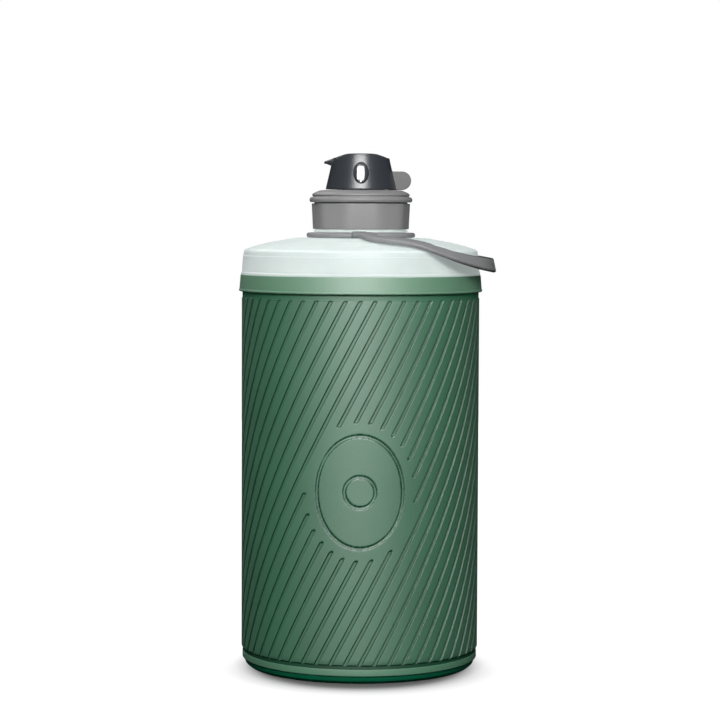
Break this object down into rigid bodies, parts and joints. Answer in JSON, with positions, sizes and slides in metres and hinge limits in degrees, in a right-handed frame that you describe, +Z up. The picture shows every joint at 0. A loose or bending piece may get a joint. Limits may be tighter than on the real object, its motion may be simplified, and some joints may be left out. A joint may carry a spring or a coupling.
{
  "type": "folding water bottle",
  "caption": "Collapsible soft-sided water bottle with a firm base, a white shoulder, a screw cap with a quarter-turn spout and a carry loop.",
  "frame": {"origin": "centre of the flat underside of the base", "axes": "+Z up along the bottle's axis, -Y out of the front, +X towards the far end of the carry loop"},
  "size_m": [0.1168, 0.1104, 0.2323],
  "materials": {
    "green_soft": "matte",
    "green_firm": "satin",
    "white_plastic": "satin, slightly see-through",
    "cap_grey": "satin",
    "strap_grey": "matte",
    "spout_dark": "satin gloss",
    "silicone": "matte",
    "valve_white": "satin"
  },
  "bodies": {
    "base": {"base_cup": "green_firm"},
    "sleeve": {"body_sleeve": "green_soft"},
    "shoulder": {"collar_ring": "green_firm", "shoulder_dome": "white_plastic", "threaded_neck": "white_plastic"},
    "tether": {"neck_ring": "strap_grey"},
    "loop": {"carry_loop": "strap_grey"},
    "gasket": {"cap_gasket": "silicone"},
    "cap": {"cap_skirt": "cap_grey", "cap_top": "cap_grey", "valve_seat": "valve_white", "valve_seal": "silicone", "spout_retainer": "valve_white", "spout_oring": "silicone"},
    "spout": {"twist_spout": "spout_dark", "valve_rotor": "valve_white"}
  },
  "joints": [
    {"name": "fold_twist", "type": "hinge", "parent": "base", "child": "sleeve", "pos_m": [0, 0, 0], "axis": [0, 0, 1], "range_deg": [0, 60]},
    {"name": "collapse", "type": "slide", "parent": "sleeve", "child": "shoulder", "axis": [0, 0, 1], "range_m": [-0.128, 0], "deforming": ["body_sleeve"]},
    {"name": "loop_swivel", "type": "hinge", "parent": "shoulder", "child": "tether", "pos_m": [0, 0, 0.1955], "axis": [0, 0, 1], "continuous": true},
    {"name": "loop_lift", "type": "hinge", "parent": "tether", "child": "loop", "pos_m": [-0.0027, 0, 0.1963], "axis": [0, -1, 0], "range_deg": [0, 105]},
    {"name": "cap_lift", "type": "slide", "parent": "shoulder", "child": "gasket", "axis": [0, 0, 1], "range_m": [0, 0.018]},
    {"name": "cap_turn", "type": "hinge", "parent": "gasket", "child": "cap", "pos_m": [0, 0, 0.205], "axis": [0, 0, 1], "range_deg": [0, 540]},
    {"name": "spout_turn", "type": "hinge", "parent": "cap", "child": "spout", "pos_m": [0, 0, 0.2163], "axis": [0, 0, 1], "range_deg": [0, 90]}
  ],
  "couplings": [
    {"joint": "fold_twist", "follows": "collapse", "rad_per_m": -8.18}
  ]
}
